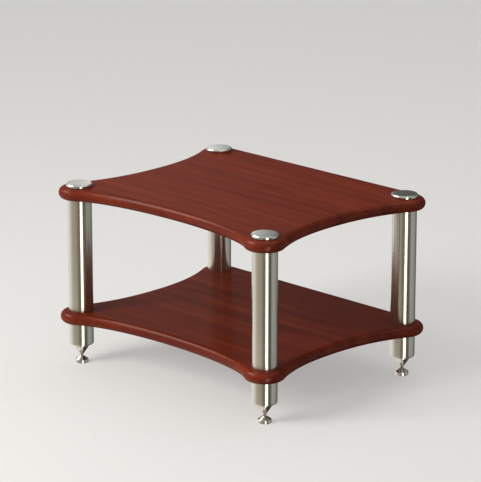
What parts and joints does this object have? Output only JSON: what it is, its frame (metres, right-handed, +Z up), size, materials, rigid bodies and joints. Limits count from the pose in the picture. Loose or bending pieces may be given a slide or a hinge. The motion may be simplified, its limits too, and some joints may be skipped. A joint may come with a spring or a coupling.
{
  "type": "audio equipment rack",
  "caption": "Low two-tier rack for audio equipment: shaped wooden shelves on round steel posts, with screw-adjusted spikes that stand in floor pads.",
  "frame": {"origin": "on the floor, under the middle of the rack", "axes": "+X to the right across the width, -Y towards the front, +Z up"},
  "size_m": [0.65, 0.5199, 0.409],
  "materials": {
    "shelf_wood": "satin-lacquered red-brown cherry",
    "post_steel": "finely brushed, satin",
    "cap_steel": "polished rim, satin face",
    "foot_steel": "turned and polished",
    "plug_aluminium": "as turned",
    "stud_steel": "zinc plated"
  },
  "bodies": {
    "rack": {"top_shelf": "shelf_wood", "lower_shelf": "shelf_wood", "front_left_lower_tube": "post_steel", "front_left_lower_tube_bottom_plug": "plug_aluminium", "front_left_lower_tube_top_plug": "plug_aluminium", "front_left_joining_stud": "stud_steel", "front_left_upper_tube": "post_steel", "front_left_upper_tube_bottom_plug": "plug_aluminium", "front_left_upper_tube_top_plug": "plug_aluminium", "front_left_cap_stud": "stud_steel", "front_left_top_cap": "cap_steel", "front_right_lower_tube": "post_steel", "front_right_lower_tube_bottom_plug": "plug_aluminium", "front_right_lower_tube_top_plug": "plug_aluminium", "front_right_joining_stud": "stud_steel", "front_right_upper_tube": "post_steel", "front_right_upper_tube_bottom_plug": "plug_aluminium", "front_right_upper_tube_top_plug": "plug_aluminium", "front_right_cap_stud": "stud_steel", "front_right_top_cap": "cap_steel", "rear_left_lower_tube": "post_steel", "rear_left_lower_tube_bottom_plug": "plug_aluminium", "rear_left_lower_tube_top_plug": "plug_aluminium", "rear_left_joining_stud": "stud_steel", "rear_left_upper_tube": "post_steel", "rear_left_upper_tube_bottom_plug": "plug_aluminium", "rear_left_upper_tube_top_plug": "plug_aluminium", "rear_left_cap_stud": "stud_steel", "rear_left_top_cap": "cap_steel", "rear_right_lower_tube": "post_steel", "rear_right_lower_tube_bottom_plug": "plug_aluminium", "rear_right_lower_tube_top_plug": "plug_aluminium", "rear_right_joining_stud": "stud_steel", "rear_right_upper_tube": "post_steel", "rear_right_upper_tube_bottom_plug": "plug_aluminium", "rear_right_upper_tube_top_plug": "plug_aluminium", "rear_right_cap_stud": "stud_steel", "rear_right_top_cap": "cap_steel"},
    "front_left_pad_body": {"front_left_floor_pad": "foot_steel"},
    "front_left_spike_body": {"front_left_spike": "foot_steel"},
    "front_right_pad_body": {"front_right_floor_pad": "foot_steel"},
    "front_right_spike_body": {"front_right_spike": "foot_steel"},
    "rear_left_pad_body": {"rear_left_floor_pad": "foot_steel"},
    "rear_left_spike_body": {"rear_left_spike": "foot_steel"},
    "rear_right_pad_body": {"rear_right_floor_pad": "foot_steel"},
    "rear_right_spike_body": {"rear_right_spike": "foot_steel"}
  },
  "joints": [
    {"name": "front_left_foot_travel", "type": "slide", "parent": "rack", "child": "front_left_pad_body", "axis": [0, 0, -1], "range_m": [0, 0.009]},
    {"name": "front_left_spike_turn", "type": "hinge", "parent": "front_left_pad_body", "child": "front_left_spike_body", "pos_m": [-0.28, -0.215, 0.0143], "axis": [0, 0, -1], "range_deg": [0, 2160]},
    {"name": "front_right_foot_travel", "type": "slide", "parent": "rack", "child": "front_right_pad_body", "axis": [0, 0, -1], "range_m": [0, 0.009]},
    {"name": "front_right_spike_turn", "type": "hinge", "parent": "front_right_pad_body", "child": "front_right_spike_body", "pos_m": [0.28, -0.215, 0.0143], "axis": [0, 0, -1], "range_deg": [0, 2160]},
    {"name": "rear_left_foot_travel", "type": "slide", "parent": "rack", "child": "rear_left_pad_body", "axis": [0, 0, -1], "range_m": [0, 0.009]},
    {"name": "rear_left_spike_turn", "type": "hinge", "parent": "rear_left_pad_body", "child": "rear_left_spike_body", "pos_m": [-0.28, 0.215, 0.0143], "axis": [0, 0, -1], "range_deg": [0, 2160]},
    {"name": "rear_right_foot_travel", "type": "slide", "parent": "rack", "child": "rear_right_pad_body", "axis": [0, 0, -1], "range_m": [0, 0.009]},
    {"name": "rear_right_spike_turn", "type": "hinge", "parent": "rear_right_pad_body", "child": "rear_right_spike_body", "pos_m": [0.28, 0.215, 0.0143], "axis": [0, 0, -1], "range_deg": [0, 2160]}
  ],
  "couplings": [
    {"joint": "front_left_spike_turn", "follows": "front_left_foot_travel", "rad_per_m": 4188.8},
    {"joint": "front_right_spike_turn", "follows": "front_right_foot_travel", "rad_per_m": 4188.8},
    {"joint": "rear_left_spike_turn", "follows": "rear_left_foot_travel", "rad_per_m": 4188.8},
    {"joint": "rear_right_spike_turn", "follows": "rear_right_foot_travel", "rad_per_m": 4188.8}
  ]
}
